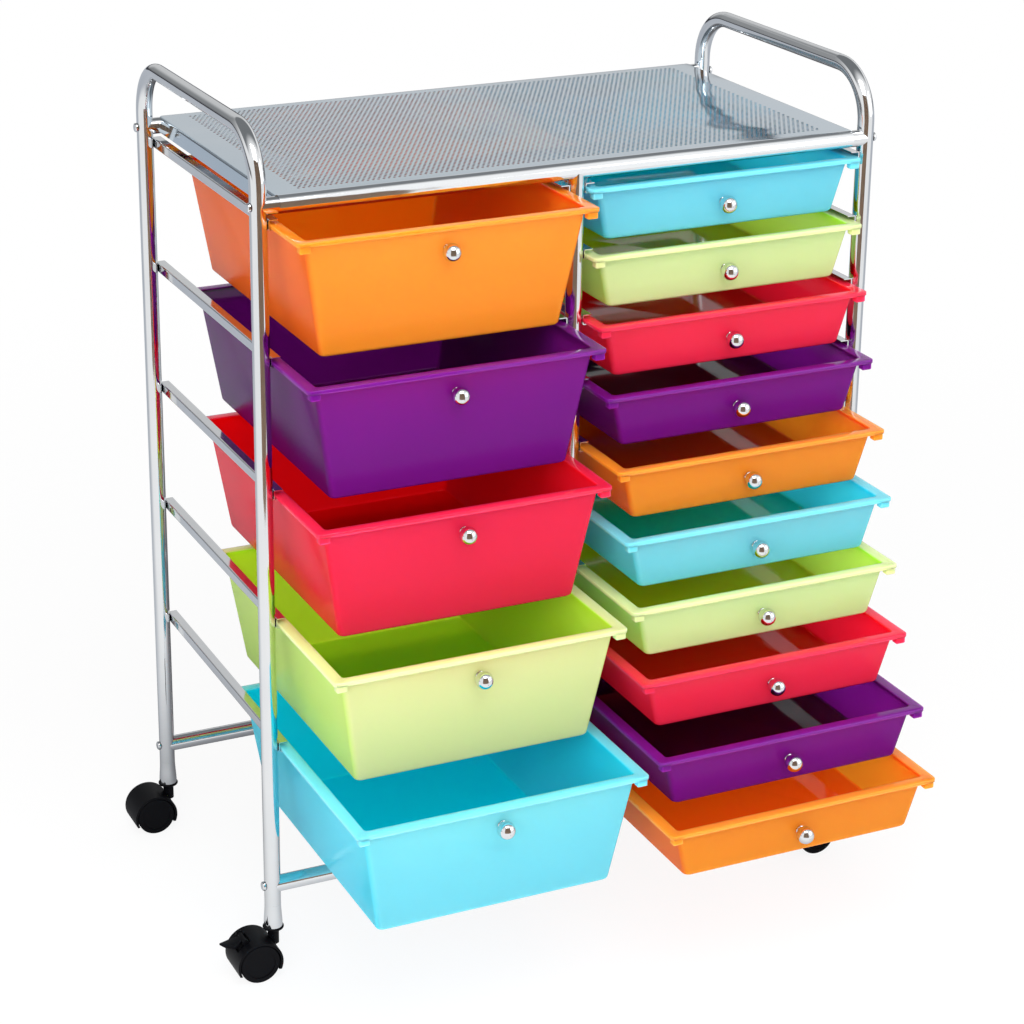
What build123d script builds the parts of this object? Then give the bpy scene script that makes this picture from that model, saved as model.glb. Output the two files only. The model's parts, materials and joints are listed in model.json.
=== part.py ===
from build123d import *
import math
import os

# Rolling drawer cart: a chrome tube frame on four twin-wheel casters, a sheet tray between
# two handles on top, and two columns of plastic drawers hanging by their rims in channel rails.
# Millimetres, +Z up, front towards -Y. The pieces are placed about the middle of the frame with
# the floor at zero, then moved so that the origin lies under the middle of the cart as it stands.

# Tube frame
tube_d = 16.0
tube_wall = 1.2
post_span_x = 625.0  # between post axes, left to right
post_span_y = 320.0  # between post axes, front to back
post_foot_z = 50.0
bottom_bar_z = 94.0
top_tube_z = 770.0
seat_gap = 0.05  # between pieces that are screwed, welded or pushed together

# Handles
handle_rise = 64.0  # handle axis above the top tube's axis
handle_bend_r = 50.0
handle_joint_drop = 10.0  # the handle legs end this far below the top tube's axis
spigot_len = 21.0
spigot_play = 0.1
spigot_wall = 1.2
shoulder_t = 2.0

# Frame screws
screw_d = 4.8
screw_hole_play = 0.1
screw_head_d = 9.0
screw_head_h = 2.8
head_round = 0.6  # rounding of the screw heads, as a share of their height
screw_grip = 10.0  # length inside the plugged tube end
end_plug_len = 14.0

# Tray
tray_sheet = 1.0
tray_end_gap = 15.0  # from the tray's end to the post axis
tray_flange_drop = 14.0
tray_flange_gap = 3.0  # between the turned-down side and the top tubes
tray_end_margin = 27.0  # plain sheet at the turned-down sides
tray_edge_margin = 12.0  # plain sheet beside the curls
tray_hole_columns = 12  # each hole stands for a patch of the sheet's fine perforation
tray_hole_rows = 6
tray_hole_d = 26.0

# Rails
rail_h = 10.0
rail_w = 9.0
rail_sheet = 1.0
rail_bend_r = 1.6
rail_overhang = 4.0  # past the post axes, front and back
first_rail_drop = 17.0  # first rail's centre below the top tube's axis
small_pitch = 64.0
large_count = 5
small_count = 10

# Drawers, sizes common to both kinds
rim_t = 4.0
rim_len = 330.0
rim_side_play = 0.7  # between the rim's edge and the rail's web
rim_rest_gap = 0.3  # between the rim and the rail's lower lip
rim_corner_r = 6.0
rim_edge_r = 1.0
mouth_edge_r = 1.5
wall_t = 2.0
floor_t = 2.2
side_flange = 9.6
end_flange = 8.6
wall_corner_r = 8.0
floor_edge_r = 6.0
lug_w = 10.0
lug_h = 6.0
lug_len = 8.0
lug_side_inset = 2.5
lug_front_inset = 1.0
lug_stop_gap = 0.4  # between a closed drawer's lugs and the rail ends

# Large drawers: depth, how far the walls lean in at the floor, knob, how far each is drawn out
large_depth = 114.0
large_side_lean = 19.0
large_front_lean = 14.0
large_back_lean = 8.0
large_knob_drop = 23.5
large_openings = (57.0, 77.0, 95.0, 132.0, 182.0)

# Small drawers
small_depth = 54.0
small_side_lean = 13.5
small_front_lean = 5.0
small_back_lean = 4.0
small_knob_drop = 29.0
small_openings = (0.0, 8.0, 23.0, 41.0, 68.0, 87.0, 104.0, 128.0, 165.0, 192.0)

# Knobs
knob_ball_d = 14.5
knob_ball_out = 10.0  # ball centre in front of the wall
knob_neck_d = 6.4
knob_foot_d = 9.0
knob_foot_t = 1.4
knob_screw_d = 4.0
knob_screw_bite = 9.0
knob_screw_head_d = 8.0
knob_screw_head_h = 2.2
knob_hole_play = 0.15

# Casters
wheel_d = 40.0
wheel_w = 15.0
wheel_edge_r = 1.5
wheel_dish_d = 30.0
wheel_dish_deep = 0.8
axle_d = 5.0
axle_grip = 11.0  # length inside each wheel
running_play = 0.05
caster_trail = 20.0
web_t = 6.0
wheel_side_gap = 0.6
hood_gap = 0.7  # between the wheel's tread and the hood
hood_t = 2.4
hood_edge = 0.4  # the hood's edge beyond the wheel's face
hood_low_z = 11.0
boss_d = 11.0
boss_low_z = 31.0
boss_ring_gap = 0.5
boss_depth = 11.5  # stem length inside the boss
stem_d = 7.0
stem_end_gap = 0.4
stem_rise = 24.0  # stem length above the post foot
socket_ring_d = 20.0
socket_ring_t = 3.0
socket_plug_len = 28.0

# Brake levers on the front casters
brake_axis_r = 25.5  # from the wheel's axis
brake_axis_angle = 118.0  # degrees up from the forward side of the hood
brake_len = 21.5
brake_w = 16.0
brake_t = 3.0
brake_hub_d = 4.8
brake_pin_d = 2.4
brake_toe_at = 7.0
brake_toe_len = 4.0
brake_toe_gap = 0.95  # toe's inner face above the tread's height, brake off
brake_side_gap = 0.4
brake_ear_t = 2.0
brake_ear_d = 6.4
brake_slot_from = 106.0
brake_slot_to = 148.0

tube_r = tube_d / 2
bore_r = tube_r - tube_wall
spigot_r = bore_r - spigot_play
post_x = post_span_x / 2
post_y = post_span_y / 2
joint_z = top_tube_z - handle_joint_drop
screw_r = screw_d / 2
knob_screw_r = knob_screw_d / 2

rail_len = post_span_y + 2 * rail_overhang
bay_w = post_x - 2 * (tube_r + seat_gap + rail_sheet)  # between facing rail webs
bay_x = post_x / 2
rim_w = bay_w - 2 * rim_side_play
rim_top_rise = rim_t + rim_rest_gap + rail_sheet - rail_h / 2  # rim top above the rail's centre
closed_front_y = -post_y - rail_overhang - lug_stop_gap - lug_len - lug_front_inset

wheel_r = wheel_d / 2
hood_inner_r = wheel_r + hood_gap
hood_outer_r = hood_inner_r + hood_t
hood_w = web_t + 2 * (wheel_side_gap + wheel_w + hood_edge)
wheel_mid_y = web_t / 2 + wheel_side_gap + wheel_w / 2
ring_z = post_foot_z - socket_ring_t
boss_top_z = ring_z - boss_ring_gap
boss_floor_z = boss_top_z - boss_depth


def upright(radius, low, high):
    """A round bar along Z between two heights."""
    return Pos(0, 0, low) * Cylinder(radius, high - low, align=(Align.CENTER, Align.CENTER, Align.MIN))


def across(radius, length):
    """A round bar along X about the origin."""
    return Rot(0, 90, 0) * Cylinder(radius, length)


def endways(radius, length):
    """A round bar along Y about the origin."""
    return Rot(90, 0, 0) * Cylinder(radius, length)


def corner_post():
    """A tube with a narrowed spigot on top that the handle's leg slips over."""
    top = joint_z + spigot_len
    post = upright(tube_r, post_foot_z, joint_z) + upright(spigot_r, joint_z, top)
    post -= upright(bore_r, post_foot_z, joint_z - shoulder_t)
    post -= upright(spigot_r - spigot_wall, joint_z - shoulder_t, top)
    for z in (bottom_bar_z, top_tube_z):
        post -= Pos(0, 0, z) * across(screw_r + screw_hole_play, 2 * tube_d)
    return post


def handle():
    """A tube bent to an upside-down U, standing over a front and a back post."""
    top = top_tube_z + handle_rise
    corners = [(0, -post_y, joint_z), (0, -post_y, top), (0, post_y, top), (0, post_y, joint_z)]
    path = FilletPolyline(*corners, radius=handle_bend_r)
    start = Plane(origin=path @ 0, z_dir=path % 0)
    bent = sweep(start * Circle(tube_r), path=path) - sweep(start * Circle(bore_r), path=path)
    for y in (-post_y, post_y):
        bent -= Pos(0, y, top_tube_z) * across(screw_r + screw_hole_play, 2 * tube_d)
    return bent


def cross_tube():
    """A tube along X with plugged, tapped ends hollowed to fit against the posts."""
    tube = across(tube_r, post_span_x) - across(bore_r, post_span_x - 2 * (tube_r + end_plug_len))
    for x in (-post_x, post_x):
        tube -= Pos(x, 0, 0) * upright(tube_r + seat_gap, -tube_d, tube_d)
        tube -= Pos(x, 0, 0) * across(screw_r + seat_gap, 2 * (tube_r + screw_grip + seat_gap))
    return tube


def centre_post():
    """A tube between the bottom bar and the top tube, its ends hollowed to fit both."""
    post = upright(tube_r, bottom_bar_z, top_tube_z) - upright(bore_r, bottom_bar_z, top_tube_z)
    for z in (bottom_bar_z, top_tube_z):
        post -= Pos(0, 0, z) * across(tube_r + seat_gap, 2 * tube_d)
    return post


def frame_screw():
    """A pan-head screw along +X with the middle of its post at the origin."""
    seat = tube_r + seat_gap
    head = Pos(-seat - screw_head_h / 2, 0, 0) * across(screw_head_d / 2, screw_head_h)
    head = fillet(head.edges().group_by(Axis.X)[0], screw_head_h * head_round)
    shank = Pos((screw_grip - seat + tube_r) / 2, 0, 0) * across(screw_r, seat + tube_r + screw_grip)
    return head + shank


def tray():
    """A pierced sheet curled over the front and back top tubes, with both sides turned down."""
    curl_r = tube_r + seat_gap
    outer_r = curl_r + tray_sheet
    half_x = post_x - tray_end_gap
    strip = Pos(0, top_tube_z + curl_r + tray_sheet / 2) * Rectangle(post_span_y, tray_sheet)
    quarter = Rectangle(outer_r, outer_r, align=(Align.MAX, Align.MIN))
    curl = Pos(-post_y, top_tube_z) * ((Circle(outer_r) - Circle(curl_r)) & quarter)
    sheet = extrude(Plane.YZ * (strip + curl + mirror(curl, Plane.YZ)), half_x, both=True)
    pitch_x = 2 * (half_x - tray_end_margin) / tray_hole_columns
    pitch_y = 2 * (post_y - tray_edge_margin) / tray_hole_rows
    hole = upright(tray_hole_d / 2, top_tube_z, top_tube_z + 2 * outer_r)
    sheet -= [place * hole for place in GridLocations(pitch_x, pitch_y, tray_hole_columns, tray_hole_rows)]
    flange_len = 2 * (post_y - outer_r - tray_flange_gap)
    flange = Box(tray_sheet, flange_len, tray_flange_drop, align=(Align.MAX, Align.CENTER, Align.MAX))
    flange = Pos(half_x, 0, top_tube_z + outer_r) * flange
    return sheet + flange + mirror(flange, Plane.YZ)


def rail():
    """A channel along Y, its web's outer face on x = 0 and its open side towards +X."""
    corner = (Align.MIN, Align.CENTER)
    outer = Rectangle(rail_w, rail_h, align=corner)
    outer = fillet(outer.vertices().group_by(Axis.X)[0], rail_bend_r)
    inner = Pos(rail_sheet, 0) * Rectangle(rail_w, rail_h - 2 * rail_sheet, align=corner)
    inner = fillet(inner.vertices().group_by(Axis.X)[0], rail_bend_r - rail_sheet)
    return extrude(Plane.XZ * (outer - inner), rail_len / 2, both=True)


def rail_z(level, pitch):
    """Height of the rail centre at a level counted from zero at the top."""
    return top_tube_z - first_rail_drop - level * pitch


def rail_column(x, faces_left, count, pitch):
    """The rails of one column, one above the other on the posts' sides."""
    one = mirror(rail(), Plane.YZ) if faces_left else rail()
    return [Pos(x, 0, rail_z(level, pitch)) * one for level in range(count)]


def tub_section(z, skin, depth, leans):
    """The tub's outline at a height below its rim's top, drawn in by a skin thickness."""
    share = -z / depth
    side, front, back = (flange + lean * share + skin for flange, lean in leans)
    outline = RectangleRounded(rim_w - 2 * side, rim_len - front - back, wall_corner_r - skin)
    return Pos(0, (front + rim_len - back) / 2, z) * outline


def tub(depth, side_lean, front_lean, back_lean, knob_plane):
    """A leaning-walled tub with a flat rim and two stop lugs; rim front on y = 0, top on z = 0."""
    leans = ((side_flange, side_lean), (end_flange, front_lean), (end_flange, back_lean))
    body = loft([tub_section(0, 0, depth, leans), tub_section(-depth, 0, depth, leans)], ruled=True)
    body = fillet(body.faces().sort_by(Axis.Z)[0].edges(), floor_edge_r)
    rim = Pos(0, rim_len / 2, -rim_t) * extrude(RectangleRounded(rim_w, rim_len, rim_corner_r), rim_t)
    lug = Box(lug_w, lug_len, lug_h + rim_t / 2, align=(Align.MIN, Align.MIN, Align.MAX))
    lug = Pos(lug_side_inset - rim_w / 2, lug_front_inset, -rim_t / 2) * lug
    body += rim + lug + mirror(lug, Plane.YZ)
    low = floor_t - depth
    hollow = loft([tub_section(rim_t, wall_t, depth, leans), tub_section(low, wall_t, depth, leans)],
                  ruled=True)
    hollow = fillet(hollow.faces().sort_by(Axis.Z)[0].edges(), floor_edge_r - wall_t)
    body -= hollow
    top = body.faces().sort_by(Axis.Z)[-1]
    body = fillet(top.outer_wire().edges(), rim_edge_r)
    top = body.faces().sort_by(Axis.Z)[-1]
    body = fillet(top.inner_wires()[0].edges(), mouth_edge_r)
    through = 6 * wall_t  # well past both faces of the wall
    return body - knob_plane * Cylinder(knob_screw_r + knob_hole_play, through)


def knob_seat(depth, front_lean, knob_drop):
    """The plane on the front wall that the knob stands on, facing outwards."""
    tilt = math.atan2(front_lean, depth)
    foot = (0, end_flange + front_lean * knob_drop / depth, -knob_drop)
    return Plane(origin=foot, x_dir=(1, 0, 0), z_dir=(0, -math.cos(tilt), -math.sin(tilt)))


def knob(front_lean, depth):
    """A ball on a neck and foot, and the screw that holds it from inside the drawer."""
    foot = upright(knob_foot_d / 2, seat_gap, knob_foot_t)
    neck = upright(knob_neck_d / 2, seat_gap, knob_ball_out)
    ball = foot + neck + Pos(0, 0, knob_ball_out) * Sphere(knob_ball_d / 2)
    ball -= upright(knob_screw_r + seat_gap, 0, knob_screw_bite + seat_gap)
    seat = -wall_t * math.cos(math.atan2(front_lean, depth)) - seat_gap
    head = upright(knob_screw_head_d / 2, seat - knob_screw_head_h, seat)
    head = fillet(head.edges().group_by(Axis.Z)[0], knob_screw_head_h * head_round)
    return [ball, head + upright(knob_screw_r, seat, knob_screw_bite)]


def caster_hood(braked):
    """A fender over both wheels with a web between them and a boss that turns on the stem.

    The stem's axis is on x = y = 0 and the wheels trail towards -X.
    """
    centre = Pos(-caster_trail, 0, wheel_r)
    kept = Pos(-caster_trail, 0, hood_low_z) * Box(
        4 * wheel_r, 2 * hood_w, 4 * wheel_r, align=(Align.CENTER, Align.CENTER, Align.MIN)
    )
    hood = endways(hood_outer_r, hood_w) - endways(hood_inner_r, 2 * hood_w)
    hood += endways(hood_inner_r + hood_t / 2, web_t)
    hood = (centre * hood) & kept
    boss = upright(boss_d / 2, boss_low_z, boss_top_z)
    room = endways(hood_inner_r, wheel_w + wheel_side_gap + hood_edge)
    for side in (-1, 1):
        boss -= centre * Pos(0, side * (hood_w + web_t) / 4, 0) * room
    hood += boss
    hood -= upright(stem_d / 2 + running_play, boss_floor_z, boss_top_z)
    hood -= centre * endways(axle_d / 2 + running_play, 2 * web_t)
    if braked:
        hood = hood_with_ears(hood, centre)
    return hood


def brake_axis():
    """The brake pin's place from the wheel's axis."""
    angle = math.radians(brake_axis_angle)
    return Pos(brake_axis_r * math.cos(angle), 0, brake_axis_r * math.sin(angle))


def hood_with_ears(hood, centre):
    """The hood with a slot for the brake lever and an ear on either side of it."""
    ear_mid = brake_w / 2 + brake_side_gap + brake_ear_t / 2
    for side in (-1, 1):
        hood += centre * Pos(0, side * ear_mid, 0) * brake_axis() * endways(brake_ear_d / 2, brake_ear_t)
    reach = 2 * brake_axis_r
    slot_angles = [math.radians(a) for a in (brake_slot_from, brake_slot_to)]
    rays = [(reach * math.cos(a), reach * math.sin(a)) for a in slot_angles]
    wedge = Plane.XZ * make_face(Polyline((0, 0), *rays, close=True))
    slot = extrude(wedge, brake_w / 2 + brake_side_gap, both=True) - endways(wheel_r, 2 * hood_w)
    hood -= centre * slot
    return hood - centre * brake_axis() * endways(brake_pin_d / 2 + running_play, 2 * hood_w)


def caster_wheels():
    """Two wheels and their axle, placed as under the hood."""
    wheel = endways(wheel_r, wheel_w)
    wheel = fillet(wheel.edges().filter_by(GeomType.CIRCLE), wheel_edge_r)
    dish = Pos(0, -wheel_w / 2, 0) * endways(wheel_dish_d / 2, 2 * wheel_dish_deep)
    bore_len = 2 * (axle_grip + seat_gap)
    wheel -= dish
    wheel -= Pos(0, wheel_w / 2, 0) * endways(axle_d / 2 + seat_gap, bore_len)
    near = Pos(-caster_trail, -wheel_mid_y, wheel_r) * wheel
    axle = endways(axle_d / 2, web_t + 2 * (wheel_side_gap + axle_grip))
    return [near, mirror(near, Plane.XZ), Pos(-caster_trail, 0, wheel_r) * axle]


def brake_lever():
    """A pedal on a pin across the hood, with a toe that is pushed down towards the treads."""
    tilt = brake_axis_angle + 90
    plate = Pos(brake_len / 2, 0, 0) * Box(brake_len, brake_w, brake_t)
    plate = fillet(plate.edges().filter_by(Axis.Z).group_by(Axis.X)[-1], brake_t)
    toe_h = brake_axis_r - wheel_r - brake_toe_gap
    toe = Box(brake_toe_len, brake_w, toe_h, align=(Align.CENTER, Align.CENTER, Align.MIN))
    lever = plate + Pos(brake_toe_at, 0, 0) * toe + endways(brake_hub_d / 2, brake_w)
    lever += endways(brake_pin_d / 2, brake_w + 2 * (brake_side_gap + brake_ear_t))
    return Pos(-caster_trail, 0, wheel_r) * brake_axis() * Rot(0, -tilt, 0) * lever


def caster_socket():
    """A plug in the post's foot with a ring under it and a hole for the stem."""
    socket = upright(socket_ring_d / 2, ring_z, post_foot_z - seat_gap)
    socket += upright(bore_r - seat_gap, post_foot_z - seat_gap, post_foot_z + socket_plug_len)
    return socket - upright(stem_d / 2 + seat_gap, ring_z, post_foot_z + socket_plug_len)


def caster_stem():
    """The pin that stands in the socket and that the hood turns on."""
    return upright(stem_d / 2, boss_floor_z + stem_end_gap, post_foot_z + stem_rise)


corners = {
    "front_left": (-post_x, -post_y),
    "front_right": (post_x, -post_y),
    "back_left": (-post_x, post_y),
    "back_right": (post_x, post_y),
}
ends = {"front": -post_y, "back": post_y}
nodes = {"tray": [tray()]}

# Frame
for corner_name, (x, y) in corners.items():
    nodes[f"{corner_name}_post"] = [Pos(x, y, 0) * corner_post()]
for side_name, x in (("left", -post_x), ("right", post_x)):
    nodes[f"{side_name}_handle"] = [Pos(x, 0, 0) * handle()]
for end_name, y in ends.items():
    nodes[f"{end_name}_top_tube"] = [Pos(0, y, top_tube_z) * cross_tube()]
    nodes[f"{end_name}_bottom_bar"] = [Pos(0, y, bottom_bar_z) * cross_tube()]
    nodes[f"{end_name}_centre_post"] = [Pos(0, y, 0) * centre_post()]
screw = frame_screw()
nodes["frame_screws"] = [
    Pos(x, y, z) * (screw if x < 0 else mirror(screw, Plane.YZ))
    for x, y in corners.values()
    for z in (bottom_bar_z, top_tube_z)
]

# Rails
side_x = tube_r + seat_gap
nodes["left_outer_rails"] = rail_column(side_x - post_x, False, large_count, 2 * small_pitch)
nodes["centre_left_rails"] = rail_column(-side_x, True, large_count, 2 * small_pitch)
nodes["centre_right_rails"] = rail_column(side_x, False, small_count, small_pitch)
nodes["right_outer_rails"] = rail_column(post_x - side_x, True, small_count, small_pitch)

# Drawers
large_seat = knob_seat(large_depth, large_front_lean, large_knob_drop)
small_seat = knob_seat(small_depth, small_front_lean, small_knob_drop)
large_tub = tub(large_depth, large_side_lean, large_front_lean, large_back_lean, large_seat)
small_tub = tub(small_depth, small_side_lean, small_front_lean, small_back_lean, small_seat)
large_knob = [large_seat * piece for piece in knob(large_front_lean, large_depth)]
small_knob = [small_seat * piece for piece in knob(small_front_lean, small_depth)]
for level, opening in enumerate(large_openings):
    place = Pos(-bay_x, closed_front_y - opening, rail_z(level, 2 * small_pitch) + rim_top_rise)
    nodes[f"large_drawer_{level + 1}_tub"] = [place * large_tub]
    nodes[f"large_drawer_{level + 1}_knob"] = [place * piece for piece in large_knob]
for level, opening in enumerate(small_openings):
    place = Pos(bay_x, closed_front_y - opening, rail_z(level, small_pitch) + rim_top_rise)
    nodes[f"small_drawer_{level + 1}_tub"] = [place * small_tub]
    nodes[f"small_drawer_{level + 1}_knob"] = [place * piece for piece in small_knob]

# Casters
nodes["caster_sockets"] = [Pos(x, y, 0) * caster_socket() for x, y in corners.values()]
nodes["caster_stems"] = [Pos(x, y, 0) * caster_stem() for x, y in corners.values()]
for corner_name, (x, y) in corners.items():
    braked = y < 0
    nodes[f"{corner_name}_caster_hood"] = [Pos(x, y, 0) * caster_hood(braked)]
    nodes[f"{corner_name}_caster_wheels"] = [Pos(x, y, 0) * piece for piece in caster_wheels()]
    if braked:
        nodes[f"{corner_name}_brake_lever"] = [Pos(x, y, 0) * brake_lever()]

# The origin goes under the middle of everything
groups = {}
for name, shapes in nodes.items():
    groups[name] = Compound([solid for shape in shapes for solid in shape.solids()])
whole = Compound(list(groups.values())).bounding_box()
to_origin = Pos(-whole.center().X, -whole.center().Y, -whole.min.Z)

os.makedirs("parts", exist_ok=True)
for name, group in groups.items():
    export_step(to_origin * group, f"parts/{name}.step")
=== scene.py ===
import json
import math

import bmesh
import bpy
from mathutils import Matrix, Vector


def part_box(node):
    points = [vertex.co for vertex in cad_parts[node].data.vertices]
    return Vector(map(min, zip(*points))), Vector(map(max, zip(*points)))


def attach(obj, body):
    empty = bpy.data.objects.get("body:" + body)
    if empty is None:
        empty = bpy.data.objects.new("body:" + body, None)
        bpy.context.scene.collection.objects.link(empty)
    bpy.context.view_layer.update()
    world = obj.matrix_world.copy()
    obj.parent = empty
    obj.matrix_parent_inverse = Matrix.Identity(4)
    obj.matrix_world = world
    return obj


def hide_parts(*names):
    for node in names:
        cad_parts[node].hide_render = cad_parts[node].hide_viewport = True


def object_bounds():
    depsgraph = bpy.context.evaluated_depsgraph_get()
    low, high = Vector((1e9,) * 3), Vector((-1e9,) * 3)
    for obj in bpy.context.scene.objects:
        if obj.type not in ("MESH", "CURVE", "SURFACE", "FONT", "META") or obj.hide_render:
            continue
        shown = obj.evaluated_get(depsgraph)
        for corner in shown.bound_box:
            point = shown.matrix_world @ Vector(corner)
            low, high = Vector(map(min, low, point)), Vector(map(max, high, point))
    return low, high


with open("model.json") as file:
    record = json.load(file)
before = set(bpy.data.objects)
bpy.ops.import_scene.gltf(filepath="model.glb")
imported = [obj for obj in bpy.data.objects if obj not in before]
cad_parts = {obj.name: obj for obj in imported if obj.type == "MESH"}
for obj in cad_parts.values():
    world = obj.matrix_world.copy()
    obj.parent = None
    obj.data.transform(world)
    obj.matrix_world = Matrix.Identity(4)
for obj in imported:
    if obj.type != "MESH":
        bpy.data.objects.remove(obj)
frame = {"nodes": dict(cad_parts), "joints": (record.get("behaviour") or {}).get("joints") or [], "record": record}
cad_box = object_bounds()
nodes = frame["nodes"]


# Tube frame: four corner posts, two bent handles, cross tubes and centre posts of thin steel tube.
# They are bent, coped, screwed together and chrome plated, so they mirror the room with a faint
# haze from polishing.
class Tone:
    """A socket in a node tree that can be used in plain arithmetic."""

    def __init__(self, tree, socket):
        self.tree = tree
        self.socket = socket

    def node(self, kind, settings, feeds, out=0):
        """Adds a node, sets it up, feeds its sockets and gives one of its outputs."""
        made = self.tree.nodes.new("ShaderNode" + kind)
        for key, value in settings.items():
            setattr(made, key, value)
        for key, value in feeds.items():
            feed(self.tree, made.inputs[key], value)
        return Tone(self.tree, made.outputs[out])

    def worked(self, operation, first, second):
        """Two values put together by a Math node."""
        return self.node("Math", {"operation": operation}, {0: first, 1: second})

    def __add__(self, other):
        return self.worked("ADD", self, other)

    def __sub__(self, other):
        return self.worked("SUBTRACT", self, other)

    def __rsub__(self, other):
        return self.worked("SUBTRACT", other, self)

    def __mul__(self, other):
        return self.worked("MULTIPLY", self, other)

    __radd__ = __add__
    __rmul__ = __mul__

    def mixed(self, low, high):
        """A colour between two, this tone saying how far."""
        return self.node("Mix", {"data_type": "RGBA"}, {0: self, 6: low, 7: high}, 2)

    def eased(self, start, end, low=0.0, high=1.0):
        """Goes gently from low to high while this tone goes from start to end."""
        span = {"From Min": start, "From Max": end, "To Min": low, "To Max": high}
        return self.node("MapRange", {"interpolation_type": "SMOOTHSTEP"}, {"Value": self, **span})

    def clouds(self, scale, detail=2.0):
        """Soft random patches over this place, about so many to the metre."""
        return self.node("TexNoise", {}, {"Vector": self, "Scale": scale, "Detail": detail})

    def dented(self, height, strength, depth):
        """A normal that shows a height as dents of a depth."""
        feeds = {"Strength": strength, "Distance": depth, "Height": height}
        return self.node("Bump", {}, feeds, "Normal")

    def along(self, direction):
        """How far this place lies in a direction."""
        return self.node("VectorMath", {"operation": "DOT_PRODUCT"}, {0: self, 1: direction}, "Value")


def feed(tree, socket, value):
    """Links a tone to a socket, or sets the socket to a plain value."""
    if isinstance(value, Tone):
        tree.links.new(value.socket, socket)
    else:
        socket.default_value = value


def new_finish(name, **plain):
    """A material, its shader and the object's own coordinates as a tone."""
    finish = bpy.data.materials.new(name)
    finish.use_nodes = True
    shader = finish.node_tree.nodes["Principled BSDF"]
    for key, value in plain.items():
        shader.inputs[key.replace("_", " ")].default_value = value
    place = finish.node_tree.nodes.new("ShaderNodeTexCoord").outputs["Object"]
    return finish, shader, Tone(finish.node_tree, place)


def dress(shader, place, **feeds):
    """Feeds tones to a finish's shader."""
    for key, value in feeds.items():
        feed(place.tree, shader.inputs[key.replace("_", " ")], value)


def wear(node_name, finish):
    """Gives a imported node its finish."""
    mesh = nodes[node_name].data
    mesh.materials.clear()
    mesh.materials.append(finish)


plate_dim, plate_bright = (0.70, 0.72, 0.74, 1), (0.80, 0.81, 0.82, 1)
haze_dulling = 0.05
streak_strength, streak_depth = 0.02, 0.0004


def chrome_plate(name, dullness, haze_scale):
    """Bright plating over steel: pale, mirror-like, with soft patches of polishing haze."""
    finish, shader, place = new_finish(name, Metallic=1.0)
    haze = place.clouds(haze_scale, 3.0)
    streaks = place.clouds(9 * haze_scale)
    dress(
        shader,
        place,
        Base_Color=haze.mixed(plate_dim, plate_bright),
        Roughness=dullness + haze_dulling * haze,
        Normal=place.dented(streaks, streak_strength, streak_depth),
    )
    return finish


tube_chrome = chrome_plate("tube_chrome", dullness=0.04, haze_scale=18.0)
tube_endings = ("_post", "_handle", "_top_tube", "_bottom_bar")
for name in nodes:
    if name.endswith(tube_endings) or name in ("frame_screws", "caster_stems"):
        wear(name, tube_chrome)


# Tray: one sheet of silver-plated steel, pierced all over with staggered round holes inside a plain
# margin, curled over the front and back top tubes and turned down at both ends.
def new_piece(name, bm, finish, body):
    """Makes an object from a bmesh, with its finish, body and material slot."""
    mesh = bpy.data.meshes.new(name)
    bm.to_mesh(mesh)
    bm.free()
    mesh.materials.append(finish)
    piece = bpy.data.objects.new(name, mesh)
    bpy.context.scene.collection.objects.link(piece)
    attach(piece, body)
    return piece


def smooth(piece, angle):
    """Rounds the shading of a piece except at edges sharper than an angle in degrees."""
    piece.data.polygons.foreach_set("use_smooth", [True] * len(piece.data.polygons))
    piece.data.set_sharp_from_angle(angle=math.radians(angle))


def holed_lattice(bm, low, high, z, pitch, hole_r):
    """Sheet around staggered six-sided holes between two corners; gives the edges around its outside."""
    row_step = pitch * math.sqrt(3) / 2
    columns = int((high[0] - low[0]) / pitch)
    rows = int((high[1] - low[1]) / row_step)
    start_x = (low[0] + high[0] - (columns - 0.5) * pitch) / 2
    start_y = (low[1] + high[1] - (rows - 1) * row_step) / 2
    turns = [math.radians(30 + 60 * k) for k in range(6)]
    rings = {}
    for row in range(rows):
        for column in range(columns):
            x = start_x + (column + 0.5 * (row % 2)) * pitch
            y = start_y + row * row_step
            spots = [(x + hole_r * math.cos(t), y + hole_r * math.sin(t), z) for t in turns]
            rings[row, column] = [bm.verts.new(spot) for spot in spots]
    hole_edges = [bm.edges.new((ring[k], ring[k - 1])) for ring in rings.values() for k in range(6)]
    for (row, column), ring in rings.items():
        up_right = rings.get((row + 1, column + row % 2))
        up_left = rings.get((row + 1, column - 1 + row % 2))
        right = rings.get((row, column + 1))
        if right:
            bm.faces.new((ring[5], right[3], right[2], ring[0]))
        if up_right:
            bm.faces.new((ring[0], up_right[4], up_right[3], ring[1]))
        if up_left:
            bm.faces.new((ring[1], up_left[5], up_left[4], ring[2]))
        if right and up_right:
            bm.faces.new((ring[0], right[2], up_right[4]))
        if up_left and up_right:
            bm.faces.new((ring[1], up_right[3], up_left[5]))
    bare = [edge for edge in hole_edges if not edge.link_faces]
    holes = set(hole_edges)
    return bare + [edge for edge in bm.edges if edge not in holes and len(edge.link_faces) == 1]


def strip_along(bm, row, steps):
    """Faces from a row of corners along a list of moves."""
    for step in steps:
        moved = [bm.verts.new(vert.co + step) for vert in row]
        for k in range(len(row) - 1):
            bm.faces.new((row[k], row[k + 1], moved[k + 1], moved[k]))
        row = moved


def bend_steps(radius, out, turn, count, lead):
    """Moves along a bend that starts level towards out, turns down by degrees and runs on straight."""
    out, up = Vector(out), Vector((0, 0, 1))
    points = []
    for k in range(count + 1):
        angle = math.radians(turn) * k / count
        points.append(radius * (out * math.sin(angle) + up * (math.cos(angle) - 1)))
    steps = [after - before for before, after in zip(points, points[1:])]
    end = math.radians(turn)
    steps.append(lead * (out * math.cos(end) - up * math.sin(end)))
    return steps


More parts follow.
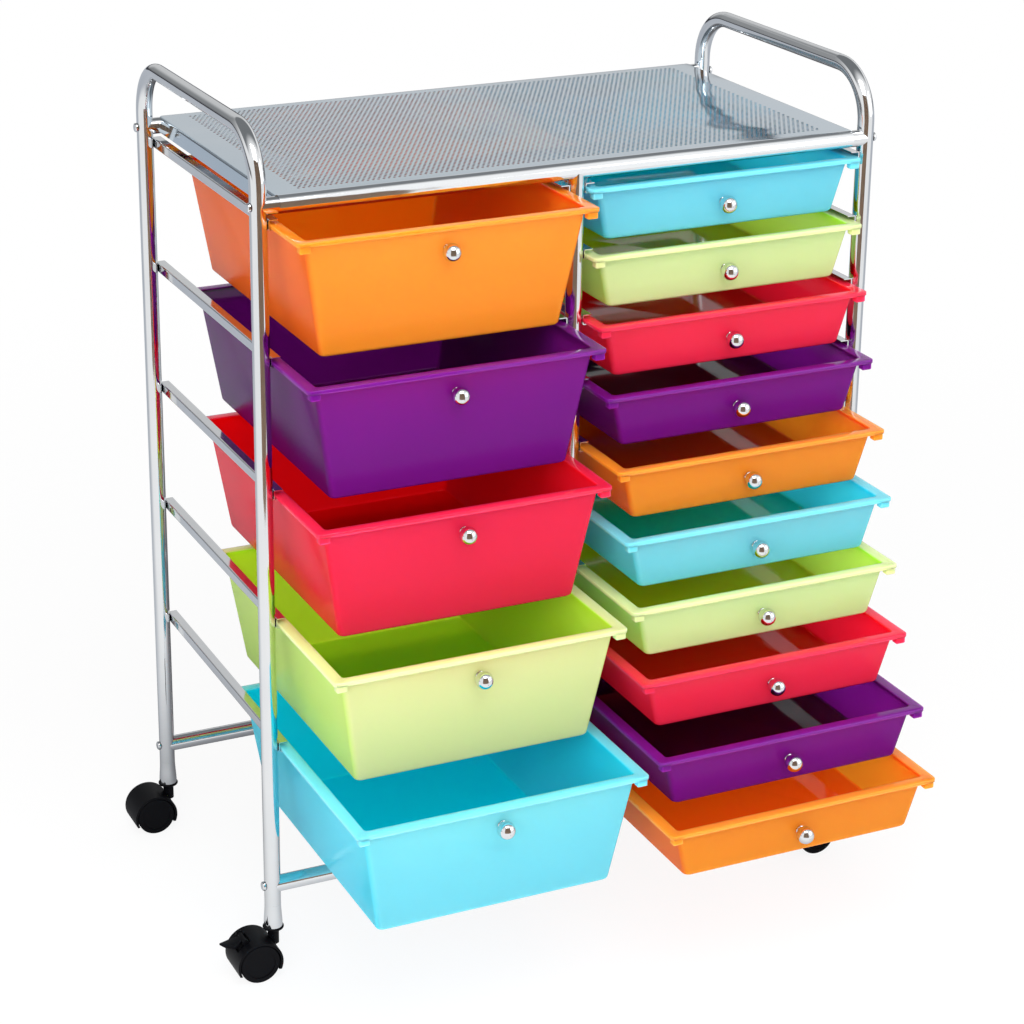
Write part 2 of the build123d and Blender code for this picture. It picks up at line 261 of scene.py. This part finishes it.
tray_low, tray_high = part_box("tray")
silver_dim, silver_bright = (0.585, 0.68, 0.755, 1), (0.66, 0.75, 0.83, 1)
# The front curl is painted a paler silver, a painted highlight for the bright light it mirrors.
curl_painted_highlight = (0.88, 0.90, 0.92, 1)
curl_front, curl_back = tray_low.y + 0.006, tray_low.y + 0.010
tray_finish, tray_shader, tray_place = new_finish("tray_silver", Metallic=1.0)
tray_cloud = tray_place.clouds(7.0)
tray_wave = tray_place.clouds(24.0, 0.0) + 0.004 * tray_place.clouds(420.0)
# Share of the painted highlight: full on the front curl, none behind it.
curl_highlight_share = tray_place.along((0, 1, 0)).eased(curl_front, curl_back, 1.0, 0.0)
dress(
    tray_shader,
    tray_place,
    Base_Color=curl_highlight_share.mixed(tray_cloud.mixed(silver_dim, silver_bright), curl_painted_highlight),
    Roughness=0.05 + 0.04 * tray_cloud,
    Normal=tray_place.dented(tray_wave, strength=0.2, depth=0.004),
)

sheet_t = 0.001
hole_pitch, hole_r = 0.00515, 0.00142
end_margin, front_margin, back_margin = 0.024, 0.010, 0.008
tube_low, tube_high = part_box("front_top_tube")
curl_r, curl_turn, curl_lead = (tube_high.y - tube_low.y) / 2 + sheet_t, 90, 0.001
fold_r, fold_turn, flange_drop = 0.003, 78, 0.012
flat_low = (tray_low.x + fold_r, tray_low.y + curl_r)
flat_high = (tray_high.x - fold_r, tray_high.y - curl_r)
pierced_low = (flat_low[0] + end_margin, flat_low[1] + front_margin)
pierced_high = (flat_high[0] - end_margin, flat_high[1] - back_margin)
bm = bmesh.new()
inner_edges = holed_lattice(bm, pierced_low, pierced_high, tray_high.z, hole_pitch, hole_r)
corner_xy = [flat_low, (flat_high[0], flat_low[1]), flat_high, (flat_low[0], flat_high[1])]
corners = [bm.verts.new((x, y, tray_high.z)) for x, y in corner_xy]
outer_edges = [bm.edges.new((corners[k], corners[(k + 1) % 4])) for k in range(4)]
bmesh.ops.triangle_fill(
    bm, use_beauty=True, use_dissolve=False, edges=inner_edges + outer_edges, normal=(0, 0, 1)
)
front_left, front_right, back_right, back_left = corners
curl = {"turn": curl_turn, "count": 8, "lead": curl_lead}
fold = {"turn": fold_turn, "count": 5, "lead": flange_drop}
strip_along(bm, [front_left, front_right], bend_steps(curl_r, (0, -1, 0), **curl))
strip_along(bm, [back_right, back_left], bend_steps(curl_r, (0, 1, 0), **curl))
strip_along(bm, [back_left, front_left], bend_steps(fold_r, (-1, 0, 0), **fold))
strip_along(bm, [front_right, back_right], bend_steps(fold_r, (1, 0, 0), **fold))
bmesh.ops.recalc_face_normals(bm, faces=bm.faces)
tray = new_piece("perforated_tray", bm, tray_finish, "frame")
thickness = tray.modifiers.new("sheet", "SOLIDIFY")
thickness.thickness = sheet_t
thickness.offset = -1
solid_sheet = bpy.data.meshes.new_from_object(tray.evaluated_get(bpy.context.evaluated_depsgraph_get()))
tray.modifiers.clear()
tray.data = solid_sheet
smooth(tray, 40)
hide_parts("tray")


# Rails: channels rolled from thin steel strip, chrome plated and welded to the sides of the posts.
# The rolls leave them a little duller than the tubes.
rail_chrome = chrome_plate("rail_chrome", dullness=0.07, haze_scale=26.0)
for name in nodes:
    if name.endswith("_rails"):
        wear(name, rail_chrome)


# Drawers: injection-moulded tubs of glossy polypropylene, coloured right through. Each hangs by its
# rim in a pair of rails, and lugs under the rim's front corners stop it when it is pushed in. Light
# that comes through the thin walls makes the inside look deeper in colour than the outside, so each
# drawer's second, deeper colour is painted on the inside to stand in for that light.
drawer_colours = {
    "drawer_orange": ((1.0, 0.208, 0.014, 1), (1.0, 0.018, 0.0002, 1)),
    "drawer_purple": ((0.118, 0.004, 0.172, 1), (0.012, 0.0002, 0.014, 1)),
    "drawer_red": ((0.90, 0.014, 0.048, 1), (0.98, 0.0002, 0.0005, 1)),
    "drawer_green": ((0.61, 0.78, 0.27, 1), (0.34, 0.95, 0.003, 1)),
    "drawer_cyan": ((0.125, 0.57, 0.78, 1), (0.0002, 0.53, 1.0, 1)),
}
mottle_dim, mottle_bright, mottle_share = (0.8, 0.8, 0.8, 1), (1, 1, 1, 1), 0.25


def moulded_plastic(name, outer, inner):
    """Glossy plastic that lets some light through, with the slow waves of a moulded wall."""
    finish, shader, place = new_finish(
        name,
        Specular_IOR_Level=0.06,
        Subsurface_Weight=0.85,
        Subsurface_Radius=(1.0, 1.0, 1.0),
        Subsurface_Scale=0.02,
        Coat_Roughness=0.04,
    )
    cloud = place.clouds(9.0)
    # How far the deeper inside colour is painted on at each place, standing in for light through the walls.
    painted_depth = place.node("Attribute", {"attribute_name": "painted_depth"}, {}, "Fac")
    gloss = place.node("Attribute", {"attribute_name": "gloss"}, {}, "Fac")
    wave = place.clouds(20.0, 0.0) * (0.2 + 0.8 * gloss)
    colour = place.node(
        "Mix",
        {"data_type": "RGBA", "blend_type": "MULTIPLY"},
        {0: mottle_share, 6: painted_depth.mixed(outer, inner), 7: cloud.mixed(mottle_dim, mottle_bright)},
        2,
    )
    dress(
        shader,
        place,
        Base_Color=colour,
        Roughness=0.20 + 0.08 * cloud - 0.16 * gloss,
        Coat_Weight=0.07 + 0.53 * gloss,
        Normal=place.dented(wave, strength=0.16, depth=0.008),
    )
    return finish


corner_points = 7


def rounded_ring(bm, low, high, radius, z, points=corner_points):
    """Corners of a rounded rectangle at a height, from the right side round by the back."""
    middles = [
        (high[0] - radius, high[1] - radius, 0),
        (low[0] + radius, high[1] - radius, 90),
        (low[0] + radius, low[1] + radius, 180),
        (high[0] - radius, low[1] + radius, 270),
    ]
    ring = []
    for x, y, turn in middles:
        for k in range(points):
            angle = math.radians(turn + 90 * k / (points - 1))
            ring.append(bm.verts.new((x + radius * math.cos(angle), y + radius * math.sin(angle), z)))
    return ring


def join_rings(bm, rings):
    """Faces between rings of the same number of corners."""
    for one, other in zip(rings, rings[1:]):
        for k in range(len(one)):
            bm.faces.new((one[k - 1], one[k], other[k], other[k - 1]))


def rounded_block(bm, low, high, edge):
    """A small block with rounded upright edges and softened top and bottom."""
    rings = []
    for inset, z in ((edge, low[2]), (0, low[2] + edge), (0, high[2] - edge), (edge, high[2])):
        inner_low = (low[0] + inset, low[1] + inset)
        inner_high = (high[0] - inset, high[1] - inset)
        rings.append(rounded_ring(bm, inner_low, inner_high, 1.5 * edge, z, 4))
    join_rings(bm, rings)
    bm.faces.new(rings[0][::-1])
    bm.faces.new(rings[-1])


def quarter_turn(steps):
    """Sine and cosine at even steps over a quarter turn."""
    angles = [math.radians(90 * k / steps) for k in range(steps + 1)]
    return [(math.sin(angle), math.cos(angle)) for angle in angles]


rim_t, wall_t = 0.004, 0.002
rim_edge_r, mouth_r, floor_r = 0.0009, 0.0014, 0.0036
side_flange, end_flange = 0.0096, 0.0086
rim_corner_r, wall_corner_r = 0.005, 0.0055
drawer_leans = {"large": (0.019, 0.014, 0.008), "small": (0.0135, 0.005, 0.004)}  # side, front, back
lug_size, lug_inset, lug_edge = (0.010, 0.008, 0.006), (0.0025, 0.001), 0.0006
# How much of the deeper inside colour is painted on: on the outer side walls, as painted shade, and on
# the inner right wall at its back and its front, where less of it paints the light that wall takes from the left.
side_painted_depth = 0.55
painted_lit_walls = {
    "drawer_orange": (0.95, 0.80),
    "drawer_purple": (0.92, 0.72),
    "drawer_red": (0.96, 0.84),
    "drawer_green": (1.0, 0.92),
    "drawer_cyan": (1.0, 0.92),
}


def tub_outline(low, high, leans, z, skin):
    """Low and high corners of the tub's outline at a height, drawn in by a skin thickness."""
    share = (high.z - z) / (high.z - low.z)
    side = side_flange + leans[0] * share + skin
    front = end_flange + leans[1] * share + skin
    back = end_flange + leans[2] * share + skin
    return (low.x + side, low.y + front), (high.x - side, high.y - back)


def drawn_in(outline, inset):
    """An outline drawn in all round."""
    (x0, y0), (x1, y1) = outline
    return (x0 + inset, y0 + inset), (x1 - inset, y1 - inset)


def tub_mesh(low, high, leans, painted_lit_wall):
    """The tub from its underside, over the rim, to the floor inside."""
    bm = bmesh.new()
    painted_depth = bm.verts.layers.float.new("painted_depth")
    gloss = bm.verts.layers.float.new("gloss")
    under_rim = high.z - rim_t
    rim_outline = ((low.x, low.y), (high.x, high.y))
    inner_corner_r, inner_floor_r = wall_corner_r - wall_t, floor_r - wall_t
    walls, rim, mouth, bowl = [], [], [], []
    for rise, run in quarter_turn(5):
        z = low.z + floor_r * (1 - rise)
        outline = drawn_in(tub_outline(low, high, leans, z, 0), floor_r * (1 - run))
        walls.insert(0, rounded_ring(bm, *outline, wall_corner_r, z))
    outline = tub_outline(low, high, leans, under_rim, 0)
    walls.append(rounded_ring(bm, *outline, wall_corner_r, under_rim))
    for rise, run in quarter_turn(3):
        inset = rim_edge_r * (1 - rise)
        z = under_rim + rim_edge_r * (1 - run)
        rim.append(rounded_ring(bm, *drawn_in(rim_outline, inset), rim_corner_r - inset, z))
    for rise, run in quarter_turn(3):
        inset = rim_edge_r * (1 - run)
        z = high.z - rim_edge_r * (1 - rise)
        rim.append(rounded_ring(bm, *drawn_in(rim_outline, inset), rim_corner_r - inset, z))
    for rise, run in quarter_turn(4):
        z = high.z - mouth_r * (1 - run)
        outline = drawn_in(tub_outline(low, high, leans, z, wall_t), -mouth_r * (1 - rise))
        mouth.append(rounded_ring(bm, *outline, inner_corner_r, z))
    for rise, run in quarter_turn(5):
        z = low.z + wall_t + inner_floor_r * (1 - rise)
        outline = drawn_in(tub_outline(low, high, leans, z, wall_t), inner_floor_r * (1 - run))
        bowl.append(rounded_ring(bm, *outline, inner_corner_r, z))
    join_rings(bm, walls + rim + mouth + bowl)
    bm.faces.new(walls[0][::-1])
    bm.faces.new(bowl[-1])
    for ring in rim[1:] + mouth + bowl:
        for vert in ring:
            vert[gloss] = 1.0
    # The whole inside is painted in the deeper colour, standing in for light through the thin walls.
    for k, ring in enumerate(mouth + bowl):
        for vert in ring:
            vert[painted_depth] = min(1.0, k / (len(mouth) - 1))
    # The inner right wall is painted paler at its back and front, as painted light from the left.
    for ring in (mouth[-1], bowl[0]):
        ring[0][painted_depth] = painted_lit_wall[0]
        for vert in ring[3 * corner_points:]:
            vert[painted_depth] = painted_lit_wall[1]
    # The outer side walls get part of the deeper colour as painted shade, most at the sides and none at the front
    # and back.
    for ring in walls:
        for k, vert in enumerate(ring):
            turn = 90 * (k // corner_points + k % corner_points / (corner_points - 1))
            vert[painted_depth] = side_painted_depth * math.cos(math.radians(turn)) ** 2
    for x in (low.x + lug_inset[0], high.x - lug_inset[0] - lug_size[0]):
        lug_low = (x, low.y + lug_inset[1], under_rim - lug_size[2])
        lug_high = (x + lug_size[0], lug_low[1] + lug_size[1], under_rim + rim_t / 4)
        rounded_block(bm, lug_low, lug_high, lug_edge)
    bmesh.ops.recalc_face_normals(bm, faces=bm.faces)
    return bm


drawer_finish = {}
for slot_name, (outer, inner) in drawer_colours.items():
    drawer_finish[slot_name] = moulded_plastic(slot_name, outer, inner)
for entry in frame["record"]["subparts"]:
    node_name, slot_name = entry["node"], entry["material_slot"]
    if node_name.endswith("_tub"):
        kind = node_name.split("_")[0]
        drawer = node_name.removesuffix("_tub")
        bm = tub_mesh(*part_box(node_name), drawer_leans[kind], painted_lit_walls[slot_name])
        shell = new_piece(f"{drawer}_shell", bm, drawer_finish[slot_name], drawer)
        smooth(shell, 38)
        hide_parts(node_name)


# Knobs: turned steel balls on short necks, chrome plated. Each stands on a small foot against its
# drawer's front and is held by a screw from inside the drawer.
def turned(bm, place, outline, corners=28):
    """A closed round shape about an upright axis, placed by a matrix, from (radius, height) points."""
    turns = [math.radians(360 * k / corners) for k in range(corners)]
    rings = []
    for radius, height in outline:
        spots = [Vector((radius * math.cos(t), radius * math.sin(t), height)) for t in turns]
        rings.append([bm.verts.new(place @ spot) for spot in spots])
    join_rings(bm, rings + rings[:1])


knob_chrome = chrome_plate("knob_chrome", dullness=0.03, haze_scale=60.0)
knob_drop = {"large": 0.0235, "small": 0.029}
ball_r, ball_out, ball_top, ball_turn = 0.0086, 0.0102, 88, 156
neck_r, neck_foot = 0.0032, 0.0003
foot_r, foot_t, foot_edge = 0.0045, 0.0014, 0.0004
seat_gap, tip_r = 0.0002, 0.0003
screw_r, screw_head_r, screw_head_h, screw_head_round = 0.002, 0.004, 0.0022, 0.0012
knob_shape = []
for k in range(17):
    angle = math.radians(ball_top - ball_turn * k / 16)
    knob_shape.append((ball_r * math.cos(angle), ball_out + ball_r * math.sin(angle)))
knob_shape += [(neck_r, foot_t + neck_foot), (foot_r - foot_edge, foot_t), (foot_r, foot_t - foot_edge)]
knob_shape += [(foot_r, seat_gap), (screw_r, seat_gap)]
knob_shape += [(screw_r, -wall_t - seat_gap), (screw_head_r, -wall_t - seat_gap)]
screw_tip = -wall_t - screw_head_h
for rise, run in quarter_turn(4):
    inset, height = screw_head_round * (1 - run), screw_head_round * (1 - rise)
    knob_shape.append((screw_head_r - inset, screw_tip + height))
knob_shape.append((tip_r, screw_tip))
for name in nodes:
    if name.endswith("_knob"):
        drawer = name.removesuffix("_knob")
        kind = name.split("_")[0]
        low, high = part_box(f"{drawer}_tub")
        drop = knob_drop[kind]
        tilt = math.atan2(drawer_leans[kind][1], high.z - low.z)
        seat = ((low.x + high.x) / 2, low.y + end_flange + math.tan(tilt) * drop, high.z - drop)
        facing = Matrix.Rotation(math.radians(90) + tilt, 4, "X")
        bm = bmesh.new()
        turned(bm, Matrix.Translation(seat) @ facing, knob_shape)
        bmesh.ops.recalc_face_normals(bm, faces=bm.faces)
        ball_knob = new_piece(f"{drawer}_ball_knob", bm, knob_chrome, drawer)
        smooth(ball_knob, 40)
        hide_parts(name)


# Casters: black moulded nylon, with twin wheels on an axle under a hood that turns on a steel stem.
# The moulds give it a fine matt grain.
black_dim, black_bright = (0.002, 0.002, 0.003, 1), (0.004, 0.004, 0.005, 1)
black_nylon, nylon_shader, nylon_place = new_finish("black_nylon", Specular_IOR_Level=0.08)
nylon_cloud = nylon_place.clouds(40.0)
dress(
    nylon_shader,
    nylon_place,
    Base_Color=nylon_cloud.mixed(black_dim, black_bright),
    Roughness=0.34 + 0.12 * nylon_cloud,
    Normal=nylon_place.dented(nylon_place.clouds(900.0), strength=0.15, depth=0.0002),
)
for name in nodes:
    if name.endswith(("_hood", "_wheels")):
        wear(name, black_nylon)


# Feet: the end of each post is pressed out a little over its nylon socket, and the socket's ring shows
# below it as a rounded bead.
tube_r, sleeve_t, sleeve_gap = 0.008, 0.001, 0.00005
flare, flare_len = 0.0012, 0.024
bead_r, bead_bulge, bead_h, bead_bore = 0.0091, 0.0013, 0.003, 0.004
foot_shape = [(tube_r - sleeve_t, 0.0), (tube_r - sleeve_t, flare_len)]
for k in range(9):
    share = k / 8
    ease = share * share * (3 - 2 * share)
    foot_shape.append((tube_r + sleeve_gap + flare * ease, flare_len * (1 - share)))
bead_shape = [(bead_bore, -bead_h), (bead_bore, 0.0)]
for k in range(9):
    angle = math.radians(90 - 180 * k / 8)
    bead_shape.append((bead_r + bead_bulge * math.cos(angle), bead_h / 2 * (math.sin(angle) - 1)))
feet, beads = bmesh.new(), bmesh.new()
for name in nodes:
    if name.endswith(("_left_post", "_right_post")):
        low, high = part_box(name)
        foot_at = Matrix.Translation(((low.x + high.x) / 2, (low.y + high.y) / 2, low.z))
        turned(feet, foot_at, foot_shape)
        turned(beads, foot_at, bead_shape)
for bm in (feet, beads):
    bmesh.ops.recalc_face_normals(bm, faces=bm.faces)
smooth(new_piece("post_feet", feet, tube_chrome, "frame"), 50)
foot_rings = new_piece("foot_rings", beads, black_nylon, "frame")
smooth(foot_rings, 50)
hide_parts("caster_sockets")


# Brake pedals: on the two front casters, a moulded arm on a cross pin that follows the hood down and
# ends in a leaf with a blunt point, turned up so that a toe can find it.
pedal_x = [0.0, -0.004, -0.008, -0.013, -0.0185, -0.0230]
pedal_z = [0.0, -0.0022, -0.0042, -0.0042, -0.0032, -0.0014]
pedal_half_w = [0.0040, 0.0052, 0.0078, 0.0070, 0.0044, 0.0012]
pedal_half_t = [0.0022, 0.0018, 0.0024, 0.0020, 0.0015, 0.0008]
pin_shape = [(0.0003, -0.0102), (0.0012, -0.0102), (0.0012, -0.0078), (0.0023, -0.0078)]
pin_shape += [(radius, -height) for radius, height in reversed(pin_shape)]
across = Vector((0, 1, 0))
for joint in frame["joints"]:
    if joint["child"].endswith("_brake_lever"):
        pin = Vector(joint["pos_m"])
        spots = [pin + Vector((x, 0, z)) for x, z in zip(pedal_x, pedal_z)]
        bm = bmesh.new()
        rings = []
        for k, spot in enumerate(spots):
            heading = (spots[min(k + 1, len(spots) - 1)] - spots[max(k - 1, 0)]).normalized()
            half_w, half_t = pedal_half_w[k], pedal_half_t[k]
            ring = rounded_ring(bm, (-half_w, -half_t), (half_w, half_t), 0.7 * half_t, 0, 4)
            turn = Matrix((across, heading.cross(across), heading)).transposed().to_4x4()
            bmesh.ops.transform(bm, matrix=Matrix.Translation(spot) @ turn, verts=ring)
            rings.append(ring)
        join_rings(bm, rings)
        bm.faces.new(rings[0][::-1])
        bm.faces.new(rings[-1])
        turned(bm, Matrix.Translation(pin) @ Matrix.Rotation(math.radians(-90), 4, "X"), pin_shape, 16)
        bmesh.ops.recalc_face_normals(bm, faces=bm.faces)
        pedal_name = joint["child"].replace("lever", "pedal")
        pedal = new_piece(pedal_name, bm, black_nylon, joint["child"])
        smooth(pedal, 50)
        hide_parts(joint["child"])


# Lamps: soft boxes in front, above and at both sides. The chrome shows the fill and top boxes only,
# so that the posts don't get a row of bright spots.
def area_lamp(name, place, target, size, power):
    """A square soft box that faces a point."""
    lamp = bpy.data.lights.new(name, "AREA")
    lamp.shape = "SQUARE"
    lamp.size = size
    lamp.energy = power
    box = bpy.data.objects.new(name, lamp)
    bpy.context.scene.collection.objects.link(box)
    box.location = place
    box.rotation_euler = (Vector(target) - Vector(place)).to_track_quat("-Z", "Y").to_euler()
    return box


key_box = area_lamp("key_box", (-1.2, -2.6, 1.75), (0, -0.1, 0.4), size=1.3, power=41)
fill_box = area_lamp("fill_box", (2.4, -2.2, 1.7), (0, -0.1, 0.4), size=2.0, power=20)
top_box = area_lamp("top_box", (-0.3, -1.5, 2.6), (0, -0.2, 0.35), size=1.6, power=44)
side_box = area_lamp("side_box", (-2.3, -1.8, 1.15), (0, -0.1, 0.45), size=1.2, power=24)
for box in (key_box, side_box):
    box.visible_glossy = False


# Floor: plain pale board that the camera sees as white, apart from the cart's soft shadow. In the
# chrome it is white in front of the cart, and painted shade makes it grey at the sides and dark straight
# behind, standing in for the floor's shade around and under the cart.
def shown(start):
    """1 for rays from the camera, off metal or through clear pieces, and 0 for light on the object."""
    camera_ray = start.node("LightPath", {}, {}, "Is Camera Ray")
    metal_ray = start.node("LightPath", {}, {}, "Is Glossy Ray")
    clear_ray = start.node("LightPath", {}, {}, "Is Transmission Ray")
    return start.worked("MINIMUM", camera_ray + metal_ray + clear_ray, 1.0)


def new_stage(name, bm, finish):
    """A floor or a studio card, which isn't part of the cart."""
    mesh = bpy.data.meshes.new(name)
    bm.to_mesh(mesh)
    bm.free()
    mesh.materials.append(finish)
    stage = bpy.data.objects.new(name, mesh)
    bpy.context.scene.collection.objects.link(stage)
    return stage


def show_light(finish, shader, colour, amount):
    """Mixes a plain glow over a finish's own shader by an amount."""
    tree = finish.node_tree
    glow = tree.nodes.new("ShaderNodeEmission")
    feed(tree, glow.inputs["Color"], colour)
    mixer = tree.nodes.new("ShaderNodeMixShader")
    feed(tree, mixer.inputs[0], amount)
    tree.links.new(shader.outputs[0], mixer.inputs[1])
    tree.links.new(glow.outputs[0], mixer.inputs[2])
    tree.links.new(mixer.outputs[0], tree.nodes["Material Output"].inputs["Surface"])


white = (1, 1, 1, 1)
pale_dim, pale_bright = (0.90, 0.90, 0.90, 1), (0.93, 0.93, 0.93, 1)
side_painted_grey, strip_painted_shade = (0.52, 0.55, 0.60, 1), (0.08, 0.08, 0.09, 1)
to_front, to_right = (-0.40, -0.916, 0), (0.916, -0.40, 0)
floor_half = 30.0
floor_finish, floor_shader, floor_place = new_finish("pale_floor", Roughness=0.9, Specular_IOR_Level=0.2)
dress(floor_shader, floor_place, Base_Color=floor_place.clouds(2.0).mixed(pale_dim, pale_bright))
floor_reach = floor_place.node("VectorMath", {"operation": "LENGTH"}, {0: floor_place}, "Value")
floor_far = floor_reach.eased(0.6, 2.2, 0.88, 1.0)
# Rays off metal see the floor in painted shade: grey at the sides and dark straight behind the cart.
floor_behind = floor_place.along(to_front).eased(-0.4, 0.42, 1.0, 0.0)
floor_off = floor_place.node("Math", {"operation": "ABSOLUTE"}, {0: floor_place.along(to_right)})
floor_strip = floor_off.eased(0.35, 0.75, 1.0, 0.0)
floor_painted_grey = floor_behind.mixed(white, side_painted_grey)
floor_painted_shade = (floor_behind * floor_strip).mixed(floor_painted_grey, strip_painted_shade)
floor_metal = floor_place.node("LightPath", {}, {}, "Is Glossy Ray")
floor_glow = floor_metal.mixed(white, floor_painted_shade)
show_light(floor_finish, floor_shader, floor_glow, shown(floor_place) * floor_far)
bm = bmesh.new()
bmesh.ops.create_grid(bm, x_segments=8, y_segments=8, size=floor_half)
floor = new_stage("floor", bm, floor_finish)
floor.location.z = cad_box[0][2]


# Card: a dark brown board that stands by the camera and is seen only in the chrome, where it draws the
# dark line along each post and the dark bar in each knob.
card_dim, card_bright = (0.22, 0.15, 0.105, 1), (0.29, 0.20, 0.14, 1)
card_w, card_h, card_reach = 1.50, 1.9, 1.30
card_turn = math.radians(-103.0)
card_finish, card_shader, card_place = new_finish("dark_card", Roughness=0.9, Specular_IOR_Level=0.1)
dress(card_shader, card_place, Base_Color=card_place.clouds(1.5).mixed(card_dim, card_bright))
bm = bmesh.new()
bmesh.ops.create_grid(bm, x_segments=6, y_segments=12, size=0.5)
bmesh.ops.scale(bm, vec=(card_w, card_h, 1), verts=bm.verts)
card = new_stage("front_card", bm, card_finish)
card.rotation_euler = (math.radians(90), 0, card_turn + math.radians(90))
card.location = (card_reach * math.cos(card_turn), card_reach * math.sin(card_turn), card_h / 2)
card.visible_camera = False
card.visible_diffuse = False
card.visible_shadow = False


# Room: even white all round for the camera and a plain level of light on the cart. The chrome sees it
# with a grey ceiling and back wall and a dark line low down at the rear.
room_light = 0.62
far_grey, line_dark = (0.20, 0.21, 0.22, 1), (0.05, 0.05, 0.06, 1)
world = bpy.data.worlds.new("white_room")
bpy.context.scene.world = world
world.use_nodes = True
room = world.node_tree.nodes["Background"]
room_place = Tone(world.node_tree, world.node_tree.nodes.new("ShaderNodeTexCoord").outputs["Generated"])
room_right = room_place.along((1, 0, 0)).eased(-0.30, 0.05)
room_depth = room_place.along((0, 1, 0))
room_height = room_place.along((0, 0, 1))
room_rear = room_depth.eased(-0.35, 0.15)
room_ceiling = room_height.eased(0.44, 0.60) * room_rear
room_back = room_depth.eased(0.30, 0.95) * (0.92 - 0.48 * room_right)
room_line = room_height.eased(0.04, 0.20, 1.0, 0.0) * room_rear
room_dusk = room_place.worked("MAXIMUM", room_ceiling, room_back)
room_shade = room_place.worked("MAXIMUM", room_dusk, room_line)
room_metal = room_place.node("LightPath", {}, {}, "Is Glossy Ray")
room_colour = (room_metal * room_shade).mixed(white, room_line.mixed(far_grey, line_dark))
feed(world.node_tree, room.inputs["Strength"], room_light + (1 - room_light) * shown(room_place))
feed(world.node_tree, room.inputs["Color"], room_colour)


# Camera: at the picture's place, in front of the cart's left corner and above its tray. The lens axis is
# off the picture's middle by as much as the framing needs.
picture_px, lens_px, axis_px = 1024, 2631.1, (418.5, 395.0)
camera_place, camera_down, camera_turn = (-1.0558, -2.1637, 1.3910), 19.649, -23.601
camera_data = bpy.data.cameras.new("camera")
camera_data.sensor_width = 36.0
camera_data.lens = lens_px / picture_px * camera_data.sensor_width
camera_data.shift_x = 0.5 - axis_px[0] / picture_px
camera_data.shift_y = axis_px[1] / picture_px - 0.5
camera_data.clip_end = 100.0
camera = bpy.data.objects.new("camera", camera_data)
bpy.context.scene.collection.objects.link(camera)
camera.location = camera_place
camera.rotation_euler = (math.radians(90 - camera_down), 0, math.radians(camera_turn))
bpy.context.scene.camera = camera
bpy.context.scene.view_settings.view_transform = "Standard"
bpy.context.scene.cycles.diffuse_bounces = 10
